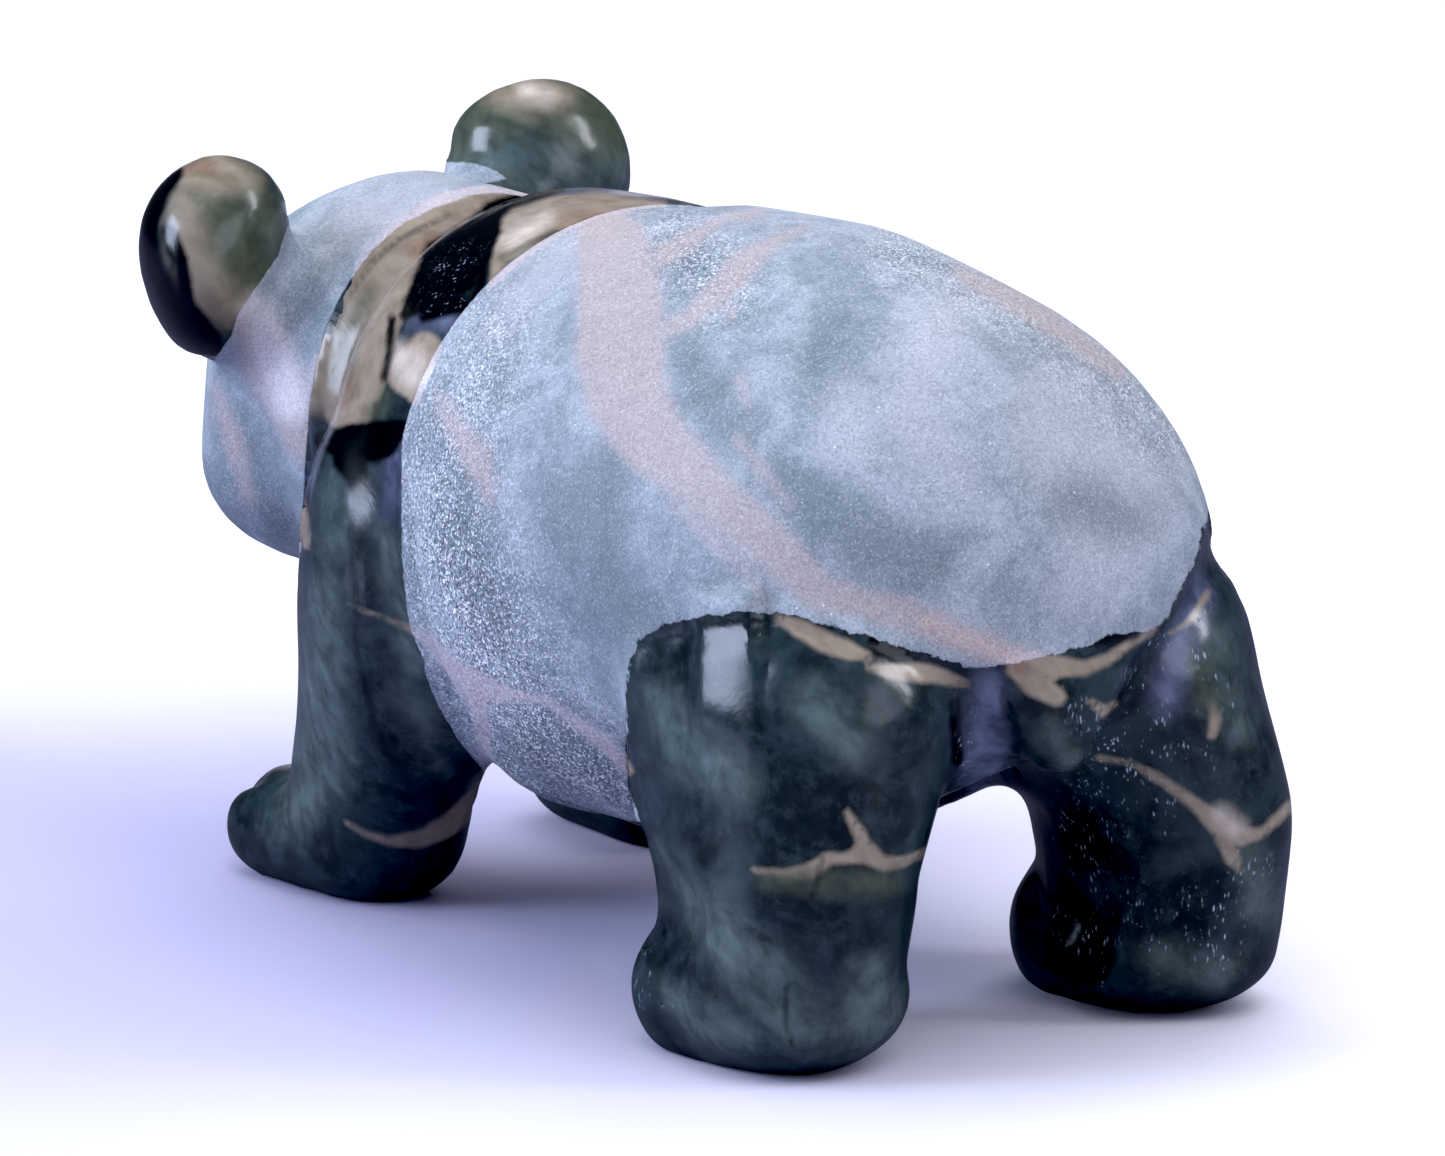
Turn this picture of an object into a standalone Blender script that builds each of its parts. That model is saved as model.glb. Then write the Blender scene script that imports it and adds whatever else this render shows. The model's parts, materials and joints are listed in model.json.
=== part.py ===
"""Panda walking on all fours with its head turned a little to its left, carved from one stone.

The figure faces -Y, its left side is +X, and it stands on four flat soles at Z = 0, with the
middle of its length and width over the origin. It is drawn in millimetres as a figure
DRAWN_LENGTH long and made LENGTH long. Each mass is a skin stretched over a few ellipsoid
balls. The masses are fused into one body, hollows and carved lines are cut into it, and the
soles are cut flat.
"""

import math

import bmesh
import bpy
import numpy as np
from mathutils import Matrix, Vector

# Size of the carving from nose to rump, in metres, and the length of its drawing
LENGTH = 0.0523
DRAWN_LENGTH = 52.3
UNIT = LENGTH / DRAWN_LENGTH

# Barrel of the body
BARREL_HALF_WIDTH = 11.9
BARREL_TOP = 26.95
BELLY_BOTTOM = 4.3
BARREL_EDGE = 1.5
LOIN_BACK = 6.8
LOIN_HALF_LENGTH = 7.5
RUMP_AT = (0.0, 13.3, 16.4)
RUMP_HALF = (11.5, 11.1, 9.4)
BELLY_AT = (0.0, -1.5, 11.6)
BELLY_HALF = (8.8, 7.5, 7.6)
BRISKET_AT = (0.0, -6.0, 13.0)
BRISKET_HALF = (6.5, 5.0, 7.0)

# Band round the shoulders: its two edges along Y, and the carved lines beside them
SHOULDER_SEAM_Y = 0.2
NECK_SEAM_Y = -11.2
COLLAR_AT = (0.0, -7.6, 17.0)
COLLAR_HALF = (9.8, 4.6, 9.4)
BAND_DROP = 0.4
BAND_HALF_LENGTH = 3.0
SEAM_DEPTH = 0.45
SEAM_FADE = 0.9
SHOULDER_SEAM_LOWEST = 6.0
NECK_SEAM_LOWEST = 12.0

# Feet: half the distance between left and right, place along Y, and how the walk shifts them;
# the sideways shift fades up the leg to nothing at SWAY_TOP
FORE_SPREAD = 7.5
FORE_FOOT_Y = -10.7
FORE_STRIDE = 0.6
FORE_SWAY = 0.7
HIND_SPREAD = 7.5
HIND_FOOT_Y = 17.95
HIND_SWAY = 0.5
SWAY_TOP = 14.0

# Balls of a foreleg: place outward, back and up from its foot, then half sizes
SHOULDER = ((-0.4, 4.1, 13.8), (4.5, 5.2, 7.0))
KNEE = ((-0.5, 0.4, 5.5), (3.4, 4.0, 3.4))
WRIST = ((-0.6, -0.9, 2.1), (3.4, 3.4, 2.6))
FORE_TOES = ((-0.3, -5.5, 1.7), (3.3, 3.1, 2.3))

# Balls of a hind leg
HIP = ((-0.9, -0.2, 12.4), (4.8, 6.0, 5.0))
FLANK_TOP = ((2.3, -3.4, 13.4), (1.9, 1.9, 1.9))
FLANK_LOW = ((2.0, -3.6, 9.0), (1.9, 1.9, 1.9))
STIFLE = ((0.3, 0.0, 7.2), (4.1, 5.6, 3.0))
HOCK = ((0.4, -0.1, 3.0), (4.1, 4.7, 3.0))
HEEL = ((0.2, -0.1, 2.3), (4.2, 4.7, 2.7))
HIND_TOES = ((0.4, -2.9, 2.0), (3.9, 3.7, 3.3))

# Lines cut between the toes of each paw
TOE_LINES = 3
TOE_PITCH = 1.6
TOE_DEPTH = 0.40
TOE_LINE_WIDTH = 0.45
TOE_LINE_TOP = 3.6
TOE_LINE_REACH = 5.0

# Head: place and turn, then its balls in its own axes
HEAD_AT = (0.0, -19.2, 18.0)
HEAD_TURN = 13.0
HEAD_ROLL = 4.0
SKULL = ((0.0, 0.0, 0.0), (8.0, 6.8, 7.4))
CHEEKS = ((0.0, -1.0, -2.8), (8.2, 5.8, 4.9))
MUZZLE = ((0.0, -3.0, -3.2), (5.2, 4.6, 3.6))
MUZZLE_TIP = ((0.0, -5.9, -3.7), (3.5, 2.6, 2.9))
NOSE = ((0.0, -8.0, -2.2), (1.5, 0.8, 0.95))
NAPE_AT = (0.0, -13.4, 17.4)
NAPE_HALF = (8.2, 4.6, 8.3)
NECK_HALF = (7.4, 6.0, 6.8)

# Ears, in the head's axes
EAR_SPREAD = 8.7
EAR_BACK = -0.8
EAR_UP = 5.6
EAR_HALF = (3.65, 2.85, 3.95)
EAR_TURN = 30.0
EAR_FLARE = 18.0
EAR_ROOT_IN = 1.8
EAR_ROOT_DROP = 1.2
EAR_ROOT_HALF = (2.4, 2.1, 2.6)

# Face, in the head's axes: round dishes with an eye left standing in each, and the mouth line
FACE_FRONT = -3.5
EYE_SPREAD = 3.5
EYE_UP = 0.9
EYE_DISH = 2.2
EYE_DEPTH = 0.55
EYE_HALF = 0.75
MOUTH_UP = -5.4
MOUTH_CURVE = 0.12
MOUTH_HALF_WIDTH = 2.6
MOUTH_DEPTH = 0.35
MOUTH_LINE_WIDTH = 0.40

# Tail: a flap that narrows to a rounded tip
TAIL_HALF_WIDTH = 3.2
TAIL_TOP = 15.5
TAIL_TIP = 10.0
TAIL_LOBE = 1.5
TAIL_TOP_Y = 22.9
TAIL_TIP_Y = 23.5
TAIL_TIP_HALF = 1.1

# Hollows: the arch between the hind legs and the grooves beside the tail
ARCH_TOP = 10.2
ARCH_HALF = 2.9
ARCH_X = -0.7
ARCH_REACH = 5.0
GROOVE_HALF = 0.9
GROOVE_TOP = 14.8
GROOVE_TOP_DEPTH = 2.2
GROOVE_LOW_DEPTH = 3.5
GROOVE_Y = 25.2

# Fineness of the balls, of the fused body and of the finished facets
BALL_STEPS = 4
EDGE_BALL_STEPS = 2
EDGE_BALLS = 36
VOXEL = 0.40
EASE_STEPS = 6
TRIANGLES = 9000

BARREL_MID = (BARREL_TOP + BELLY_BOTTOM) / 2
BARREL_HALF_HEIGHT = (BARREL_TOP - BELLY_BOTTOM) / 2
HEAD_PLACE = (
    Matrix.Translation(HEAD_AT)
    @ Matrix.Rotation(math.radians(HEAD_TURN), 4, "Z")
    @ Matrix.Rotation(math.radians(HEAD_ROLL), 4, "Y")
)


def ball(at, half, turn=0.0, lean=0.0, steps=BALL_STEPS):
    """Points of an ellipsoid: centre, half sizes, turned about Z and leaned about Y, in degrees."""
    bm = bmesh.new()
    bmesh.ops.create_icosphere(bm, subdivisions=steps, radius=1.0)
    place = (
        Matrix.Translation(at)
        @ Matrix.Rotation(math.radians(turn), 4, "Z")
        @ Matrix.Rotation(math.radians(lean), 4, "Y")
        @ Matrix.Diagonal((*half, 1.0))
    )
    points = [place @ v.co for v in bm.verts]
    bm.free()
    return points


def hoop(at, half_x, half_z, thick):
    """Points of a ring of small balls round an upright ellipse that faces along Y."""
    points = []
    for i in range(EDGE_BALLS):
        a = math.tau * i / EDGE_BALLS
        centre = (at[0] + half_x * math.cos(a), at[1], at[2] + half_z * math.sin(a))
        points += ball(centre, (thick, thick, thick), steps=EDGE_BALL_STEPS)
    return points


def skin(groups, place=Matrix.Identity(4)):
    """Closed skin stretched over groups of points, as a mesh in metres."""
    bm = bmesh.new()
    for points in groups:
        for p in points:
            bm.verts.new(UNIT * (place @ p))
    hull = bmesh.ops.convex_hull(bm, input=bm.verts)
    spare = set(hull["geom_interior"]) | set(hull["geom_unused"])
    bmesh.ops.delete(bm, geom=list(spare), context="VERTS")
    bmesh.ops.recalc_face_normals(bm, faces=bm.faces)
    mesh = bpy.data.meshes.new("mass")
    bm.to_mesh(mesh)
    bm.free()
    return mesh


def limb(side, spread, foot_y, sway, *balls):
    """Skin over a leg's balls, mirrored for the right side."""
    groups = []
    for (out, back, up), half in balls:
        x = side * (spread + out) - sway * max(0.0, 1.0 - up / SWAY_TOP)
        groups.append(ball((x, foot_y + back, up), half))
    return skin(groups)


def barrel():
    edge_at = (0.0, SHOULDER_SEAM_Y + BARREL_EDGE, BARREL_MID)
    loin_at = (0.0, SHOULDER_SEAM_Y + LOIN_BACK, BARREL_MID)
    return [
        skin([
            hoop(edge_at, BARREL_HALF_WIDTH - BARREL_EDGE, BARREL_HALF_HEIGHT - BARREL_EDGE, BARREL_EDGE),
            ball(loin_at, (BARREL_HALF_WIDTH, LOIN_HALF_LENGTH, BARREL_HALF_HEIGHT)),
            ball(RUMP_AT, RUMP_HALF),
        ]),
        skin([ball(BELLY_AT, BELLY_HALF), ball(BRISKET_AT, BRISKET_HALF)]),
    ]


def shoulders():
    """Band between the barrel and the head, a little thinner than the barrel where they meet."""
    back_half = (BARREL_HALF_WIDTH - BAND_DROP, BAND_HALF_LENGTH, BARREL_HALF_HEIGHT - BAND_DROP)
    return [skin([
        ball(COLLAR_AT, COLLAR_HALF),
        ball((0.0, SHOULDER_SEAM_Y, BARREL_MID + BAND_DROP / 2), back_half),
    ])]


def foreleg(side):
    stance = (side, FORE_SPREAD, FORE_FOOT_Y + side * FORE_STRIDE, FORE_SWAY)
    return [
        limb(*stance, SHOULDER, KNEE),
        limb(*stance, KNEE, WRIST),
        limb(*stance, WRIST, FORE_TOES),
    ]


def hindleg(side):
    stance = (side, HIND_SPREAD, HIND_FOOT_Y, HIND_SWAY)
    return [
        limb(*stance, HIP, FLANK_TOP, FLANK_LOW, STIFLE),
        limb(*stance, STIFLE, HOCK),
        limb(*stance, HEEL, HIND_TOES),
    ]


def head():
    masses = [
        skin([ball(*SKULL), ball(*CHEEKS)], HEAD_PLACE),
        skin([ball(*MUZZLE), ball(*MUZZLE_TIP)], HEAD_PLACE),
        skin([ball(*NOSE)], HEAD_PLACE),
        skin([ball(NAPE_AT, NAPE_HALF), ball(HEAD_AT, NECK_HALF)]),
    ]
    for side in (1, -1):
        ear_at = (side * EAR_SPREAD, EAR_BACK, EAR_UP)
        root_at = (side * (EAR_SPREAD - EAR_ROOT_IN), EAR_BACK, EAR_UP - EAR_ROOT_DROP)
        masses.append(skin([
            ball(ear_at, EAR_HALF, side * EAR_TURN, side * EAR_FLARE),
            ball(root_at, EAR_ROOT_HALF),
        ], HEAD_PLACE))
    return masses


def tail():
    lobe_x = TAIL_HALF_WIDTH - TAIL_LOBE
    lobe_z = TAIL_TOP - TAIL_LOBE
    lobe_half = (TAIL_LOBE, TAIL_LOBE, TAIL_LOBE)
    tip_half = (TAIL_TIP_HALF, TAIL_TIP_HALF, TAIL_TIP_HALF)
    return [skin([
        ball((lobe_x, TAIL_TOP_Y, lobe_z), lobe_half),
        ball((-lobe_x, TAIL_TOP_Y, lobe_z), lobe_half),
        ball((0.0, TAIL_TIP_Y, TAIL_TIP + TAIL_TIP_HALF), tip_half),
    ])]


def hollows():
    """Arch between the hind legs, and the two grooves beside the tail."""
    arch_half = (ARCH_HALF, ARCH_REACH, ARCH_HALF)
    cutters = [skin([
        ball((ARCH_X, HIND_FOOT_Y + ARCH_REACH, ARCH_TOP - ARCH_HALF), arch_half),
        ball((ARCH_X, HIND_FOOT_Y - ARCH_REACH, ARCH_TOP - ARCH_HALF), arch_half),
        ball((ARCH_X, HIND_FOOT_Y, 0.0), arch_half),
    ])]
    for side in (1, -1):
        x = side * (TAIL_HALF_WIDTH + GROOVE_HALF)
        top_half = (GROOVE_HALF, GROOVE_TOP_DEPTH, GROOVE_HALF)
        low_half = (GROOVE_HALF, GROOVE_LOW_DEPTH, GROOVE_HALF)
        cutters.append(skin([
            ball((x, GROOVE_Y, GROOVE_TOP - GROOVE_HALF), top_half),
            ball((x - side * GROOVE_HALF, GROOVE_Y, ARCH_TOP - GROOVE_HALF), low_half),
        ]))
    return cutters


def gather(name, masses):
    """One object that holds all the given meshes."""
    bm = bmesh.new()
    for mesh in masses:
        bm.from_mesh(mesh)
        bpy.data.meshes.remove(mesh)
    mesh = bpy.data.meshes.new(name)
    bm.to_mesh(mesh)
    bm.free()
    obj = bpy.data.objects.new(name, mesh)
    bpy.context.scene.collection.objects.link(obj)
    return obj


def add_remesh(obj, name):
    remesh = obj.modifiers.new(name, "REMESH")
    remesh.mode = "VOXEL"
    remesh.voxel_size = VOXEL * UNIT


def settle(obj):
    """Turn an object's modifiers into its mesh."""
    depsgraph = bpy.context.evaluated_depsgraph_get()
    mesh = bpy.data.meshes.new_from_object(obj.evaluated_get(depsgraph))
    obj.modifiers.clear()
    obj.data = mesh


def rough_out(masses, cutters):
    """Fuse the masses, take the hollows out and ease the edges between them."""
    obj = gather("panda_carving", masses)
    add_remesh(obj, "fuse")
    settle(obj)
    tool = gather("hollows", cutters)
    cut = obj.modifiers.new("cut", "BOOLEAN")
    cut.operation = "DIFFERENCE"
    cut.use_self = True
    cut.object = tool
    add_remesh(obj, "even")
    ease = obj.modifiers.new("ease", "SMOOTH")
    ease.factor = 0.5
    ease.iterations = EASE_STEPS
    settle(obj)
    bpy.data.objects.remove(tool)
    return obj


def seam_lines(p):
    """Depth of the carved lines ahead of the shoulder band's two edges."""
    depth = np.zeros(len(p))
    for seam_y, lowest in ((SHOULDER_SEAM_Y, SHOULDER_SEAM_LOWEST), (NECK_SEAM_Y, NECK_SEAM_LOWEST)):
        ahead = (seam_y - p[:, 1]) / SEAM_FADE
        rise = np.clip((p[:, 2] - lowest) / SEAM_FADE, 0.0, 1.0)
        depth += rise * np.where(ahead > 0, ahead * np.exp(1.0 - ahead), 0.0)
    return SEAM_DEPTH * depth


def toe_lines(p):
    """Depth of the lines between the toes of all four paws."""
    paws = []
    for side in (1, -1):
        fore_y = FORE_FOOT_Y + side * FORE_STRIDE
        paws.append((side * (FORE_SPREAD + FORE_TOES[0][0]) - FORE_SWAY, fore_y, FORE_TOES))
        paws.append((side * (HIND_SPREAD + HIND_TOES[0][0]) - HIND_SWAY, HIND_FOOT_Y, HIND_TOES))
    depth = np.zeros(len(p))
    for x, foot_y, ((_, back, _), half) in paws:
        across = p[:, 0] - x
        ahead = foot_y + back - p[:, 1]
        on_toes = (ahead > 0) & (ahead < TOE_LINE_REACH)
        on_toes &= (np.abs(across) < half[0]) & (p[:, 2] < TOE_LINE_TOP)
        for i in range(TOE_LINES):
            off = across - (i - (TOE_LINES - 1) / 2) * TOE_PITCH
            depth += on_toes * TOE_DEPTH * np.exp(-((off / TOE_LINE_WIDTH) ** 2))
    return depth


def face_lines(p):
    """Depth of the eye dishes and the mouth line; each eye is left standing in its dish."""
    inward = np.array(HEAD_PLACE.inverted())
    q = p @ inward[:3, :3].T + inward[:3, 3]
    depth = np.zeros(len(q))
    front = q[:, 1] < FACE_FRONT
    for side in (1, -1):
        off = np.hypot(q[:, 0] - side * EYE_SPREAD, q[:, 2] - EYE_UP)
        dish = np.clip(1.0 - (off / EYE_DISH) ** 2, 0.0, 1.0)
        eye = np.clip(1.0 - (off / EYE_HALF) ** 2, 0.0, 1.0)
        depth += front * EYE_DEPTH * (dish - np.sqrt(eye))
    line_up = MOUTH_UP + MOUTH_CURVE * q[:, 0] ** 2
    on_mouth = front & (np.abs(q[:, 0]) < MOUTH_HALF_WIDTH)
    depth += on_mouth * MOUTH_DEPTH * np.exp(-(((q[:, 2] - line_up) / MOUTH_LINE_WIDTH) ** 2))
    return depth


def press_lines(obj):
    """Press the carved lines into the body, against its surface."""
    mesh = obj.data
    co = np.empty(len(mesh.vertices) * 3)
    mesh.vertices.foreach_get("co", co)
    normals = np.array([v.normal for v in mesh.vertices])
    drawn = co.reshape(-1, 3) / UNIT
    depth = seam_lines(drawn) + toe_lines(drawn) + face_lines(drawn)
    drawn -= normals * depth[:, None]
    mesh.vertices.foreach_set("co", (drawn * UNIT).ravel())
    mesh.update()


def reduce_facets(obj):
    obj.data.calc_loop_triangles()
    facets = obj.modifiers.new("facets", "DECIMATE")
    facets.ratio = min(1.0, TRIANGLES / len(obj.data.loop_triangles))
    settle(obj)


def cut_soles(obj):
    """Cut everything below the ground away and close the four soles flat."""
    bm = bmesh.new()
    bm.from_mesh(obj.data)
    everything = bm.verts[:] + bm.edges[:] + bm.faces[:]
    bmesh.ops.bisect_plane(bm, geom=everything, plane_co=(0, 0, 0), plane_no=(0, 0, 1), clear_inner=True)
    rims = [e for e in bm.edges if e.is_boundary]
    bmesh.ops.holes_fill(bm, edges=rims, sides=0)
    bmesh.ops.recalc_face_normals(bm, faces=bm.faces)
    bm.to_mesh(obj.data)
    bm.free()


def centre(obj):
    """Put the middle of the figure's length and width over the origin."""
    xs = [v.co.x for v in obj.data.vertices]
    ys = [v.co.y for v in obj.data.vertices]
    middle = Vector(((min(xs) + max(xs)) / 2, (min(ys) + max(ys)) / 2, 0.0))
    obj.data.transform(Matrix.Translation(-middle))


def stone():
    """Blue-grey green stone, between its frosted and its polished parts."""
    material = bpy.data.materials.new("carved stone")
    material.use_nodes = True
    shader = material.node_tree.nodes["Principled BSDF"]
    shader.inputs["Base Color"].default_value = (0.16, 0.20, 0.24, 1.0)
    shader.inputs["Roughness"].default_value = 0.45
    shader.inputs["Metallic"].default_value = 0.0
    return material


def main():
    for o in list(bpy.data.objects):
        bpy.data.objects.remove(o)
    masses = barrel() + shoulders() + head() + tail()
    for side in (1, -1):
        masses += foreleg(side) + hindleg(side)
    panda = rough_out(masses, hollows())
    press_lines(panda)
    reduce_facets(panda)
    cut_soles(panda)
    centre(panda)
    panda.data.materials.append(stone())
    panda.data.shade_smooth()


main()
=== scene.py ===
"""Looks of the carved stone panda: its smoothed body, carved relief, stone figure, floor and light.

The stone's colours lie in sheets that run through it. Each colour is drawn by strokes, at the
places where it comes to the surface in the 1445 x 1156 photograph: a stroke is a list of
(across, down, half width) in that photograph's pixels, and the sheet runs on through the stone
along the line of sight. A stroke's points become inside distances in millimetres on the body's
vertices, and the stone material turns those into colour with broken, natural edges. Some strokes
paint light and shade into that colour rather than the stone's own: painted highlights, sheens and
shade, each said where it is drawn.
"""

import json
import math

import bmesh
import bpy
import numpy as np
from mathutils import Matrix, Vector

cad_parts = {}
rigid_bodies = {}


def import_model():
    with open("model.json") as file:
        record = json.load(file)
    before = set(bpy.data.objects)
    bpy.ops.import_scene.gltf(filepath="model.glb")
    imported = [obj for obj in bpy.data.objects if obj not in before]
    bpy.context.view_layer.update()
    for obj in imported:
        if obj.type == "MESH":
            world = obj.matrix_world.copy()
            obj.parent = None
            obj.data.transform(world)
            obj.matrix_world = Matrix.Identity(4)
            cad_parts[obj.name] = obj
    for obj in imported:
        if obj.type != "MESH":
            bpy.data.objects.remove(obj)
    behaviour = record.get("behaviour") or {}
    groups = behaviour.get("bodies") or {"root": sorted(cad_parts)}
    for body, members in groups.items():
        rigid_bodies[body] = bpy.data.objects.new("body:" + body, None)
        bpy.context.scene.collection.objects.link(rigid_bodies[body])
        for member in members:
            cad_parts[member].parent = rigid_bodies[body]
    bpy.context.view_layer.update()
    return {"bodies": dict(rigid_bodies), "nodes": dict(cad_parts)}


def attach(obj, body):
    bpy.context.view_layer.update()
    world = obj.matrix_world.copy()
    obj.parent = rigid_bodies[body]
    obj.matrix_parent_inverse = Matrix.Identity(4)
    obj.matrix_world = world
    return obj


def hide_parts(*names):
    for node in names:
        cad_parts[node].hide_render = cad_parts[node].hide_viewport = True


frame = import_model()

MM = 0.001

# The photograph: its frame, and where it was taken from, in the part's own axes
PHOTO_WIDTH = 1445
PHOTO_HEIGHT = 1156
SENSOR_WIDTH_MM = 36.0
FOCAL_PX = 8600.0
CAMERA_TURN = math.radians(146.3)
CAMERA_RISE = math.radians(11.6)
CAMERA_AT_MM = np.array((168.57, 257.10, 75.86))
PX_PER_MM = 28.0
CAMERA_SEES_FROM_TO = (0.02, 20.0)

# Place of the drawing that the sizes below are read from: its origin in the part's axes, in mm
DRAWING_AT = np.array((0.025, 1.605, 0.0))

# Surface of the body: its fineness, as fine as the export allows, and how it is evened out
SKIN_VOXEL_MM = 0.265
SAME_POINT_MM = 0.001
EVENING_ROUNDS = 14
# A pull in, then a push out that is a little stronger, so that nothing shrinks
EVENING_PULLS = (0.50, -0.53)

# The polish lies a little below the frosting along its edge: how deep, where it falls and where it
# has risen again, by the distance from the edge
FROST_STEP_MM = 0.10
FROST_STEP_FALL_MM = (0.0, 0.3)
FROST_STEP_RISE_MM = (0.5, 1.6)

# Seams of the polished shoulder band: behind it, bending forward below a height, and before it, and
# where the frosting of the belly ends
SHOULDER_SEAM_Y = 0.2
SHOULDER_BEND_Z = 9.0
SHOULDER_BEND_SLOPE = 1.65
NECK_SEAM_Y = -11.2
BELLY_UNDERSIDE_Z = 3.7
LOIN_Y = 8.0
BAND_FOOT_Z = 13.0

# How far the photograph's outlines may pass those seams, and where the neck and flank get that leeway
SEAM_LEEWAY_MM = 2.6
NECK_LEEWAY_Z = (11.0, 15.0)
FLANK_LEEWAY_X = (3.0, 7.0)

# Two parts of the figure both hold the points this near to their seam
SEAM_SHARED_MM = 0.6

# The head's hidden side is frosted up to this distance from its middle, and what shows of it also
# wherever it lies this much further in
HEAD_REACH = 10.4
HEAD_PLAIN_MM = 1.0

# Head and ears, as the solid has them
HEAD_AT = (0.0, -19.2, 18.0)
HEAD_TURN = math.radians(13.0)
HEAD_ROLL = math.radians(4.0)
EAR_AT = (8.7, -0.8, 5.6)
EAR_LEAN = math.radians(34.0)
EAR_POLISH_DEPTH = 1.7
EAR_REACH = 5.0

# The ears flow into the head over a rounded root: how far behind the ear's middle it starts, how far
# from there it ends, and how it is evened out
EAR_ROOT_FROM = (0.6, 1.6)
EAR_ROOT_TO = (4.8, 6.2)
EAR_ROOT_ROUNDS = 45
EAR_ROOT_PULLS = (0.50,)

# Face, in the head's own axes: round black patches about the eyes, and the nose, all polished
EYE_AT = (3.5, 0.9)
EYE_PATCH = 2.35
FACE_FRONT = -3.0
NOSE_AT = (0.0, -8.0, -2.2)
NOSE_REACH = 1.7
FACE_COLOUR = "black"

# Outline of the frosted barrel below and behind: the thigh's front and top, the recess beside
# the tail, the tail's top and the right thigh, then wide of the back and the band
FROSTED_BARREL = [
    (402, 560), (408, 620), (420, 660), (438, 705), (460, 742), (490, 778), (520, 793),
    (560, 805), (600, 815), (640, 822), (629, 790), (626, 750), (626, 700), (630, 660),
    (640, 640), (665, 625), (700, 617), (740, 612), (780, 613), (830, 625), (880, 640),
    (930, 656), (968, 668), (1010, 664), (1050, 656), (1085, 645), (1110, 634), (1150, 631),
    (1165, 620), (1180, 590), (1195, 560), (1203, 530), (1213, 500), (1235, 460), (1320, 400),
    (1320, 80), (400, 80),
]

# Outline of the frosted head: its seam with the shoulder band, its top, and the left ear's edge
FROSTED_HEAD = [
    (303, 640), (302, 540), (304, 480), (307, 440), (310, 400), (316, 365), (325, 330), (336, 305),
    (350, 280), (372, 250), (400, 225), (430, 205), (460, 191), (480, 184), (507, 179), (497, 171),
    (474, 163), (441, 162), (400, 130), (330, 150), (298, 203), (286, 230), (279, 255), (256, 288),
    (238, 314), (231, 336), (209, 368), (195, 382), (150, 400), (150, 640),
]

# The stone's colours, each by the strokes on every part of the figure that it shows on.
# Cream veins: tan where the stone is polished, pinkish grey where it is frosted
CREAM = {
    "body": [
        [(350, 606, 1), (380, 616, 2), (405, 626, 3), (422, 634, 5), (447, 662, 8), (476, 687, 15),
         (500, 694, 10), (520, 697, 5), (547, 700, 4), (576, 722, 6), (609, 747, 8), (628, 770, 6)],
        [(476, 690, 12), (480, 715, 8), (484, 745, 6), (490, 776, 4)],
        [(345, 822, 2), (366, 834, 4), (388, 841, 5), (420, 840, 8), (448, 826, 11), (470, 806, 11),
         (484, 786, 7)],
        [(298, 500, 4), (302, 520, 6), (306, 545, 3)],
        [(775, 617, 3), (797, 627, 9), (822, 640, 10), (850, 651, 9), (868, 656, 4)],
        [(870, 668, 4), (895, 672, 8), (925, 672, 10), (950, 679, 8), (966, 684, 4)],
        [(755, 870, 3), (785, 874, 5), (810, 872, 8), (828, 859, 6), (845, 859, 5), (868, 853, 10),
         (883, 864, 7), (905, 861, 5), (926, 851, 3)],
        [(846, 812, 3), (858, 830, 5), (866, 848, 7)],
        [(1013, 657, 9), (1050, 666, 12), (1083, 668, 8), (1107, 660, 5), (1130, 643, 4), (1155, 630, 3)],
        [(1017, 668, 10), (1035, 685, 12), (1057, 697, 9)],
        [(1088, 700, 2), (1103, 712, 5), (1116, 703, 3)],
        [(1098, 757, 2), (1133, 764, 3), (1166, 783, 5), (1193, 803, 6), (1217, 823, 12), (1240, 838, 9),
         (1263, 832, 6), (1290, 806, 5)],
        [(1222, 838, 8), (1233, 858, 8), (1240, 870, 3)],
        [(1207, 593, 2), (1192, 620, 3), (1170, 633, 2)],
        [(1210, 700, 3), (1216, 718, 6), (1212, 735, 4)],
    ],
    "band": [
        [(350, 408, 26), (350, 380, 34), (356, 345, 36), (372, 307, 33), (396, 273, 29), (428, 242, 22),
         (462, 216, 14), (508, 198, 8), (540, 190, 4)],
        [(390, 238, 8), (440, 206, 11), (487, 189, 9), (533, 181, 6)],
        [(500, 290, 12), (512, 262, 22), (524, 236, 30), (552, 216, 20), (590, 206, 14), (662, 206, 6)],
        [(413, 372, 26), (430, 392, 20), (425, 350, 18)],
    ],
}

# Softer cream that melts into the green beside it
TAN = {
    "band": [
        [(314, 400, 12), (322, 350, 13), (338, 305, 14), (362, 268, 14), (396, 236, 12), (440, 206, 10)],
    ],
    "left_ear": [
        [(186, 174, 16), (212, 172, 24), (246, 180, 12)],
        [(180, 205, 16), (192, 250, 20), (204, 285, 24), (230, 308, 18)],
    ],
    "right_ear": [[(498, 96, 12), (530, 94, 22), (560, 98, 12)]],
}

# The palest cream, milky; some of its strokes paint highlights and light instead
MILK_AND_HIGHLIGHT = {
    # Painted highlight on the right hind leg
    "body": [[(1222, 815, 8), (1236, 828, 10)]],
    # The band: a painted highlight, then a patch of pale cream
    "band": [[(400, 350, 8), (412, 368, 20), (430, 380, 14)], [(512, 238, 12), (545, 216, 8)]],
    "right_ear": [[(528, 92, 8), (545, 98, 8)]],
    # Painted light: a pale patch on the head below the left ear, lifting its shade
    "head": [[(256, 306, 14), (270, 345, 20), (290, 405, 15)]],
}
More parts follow.
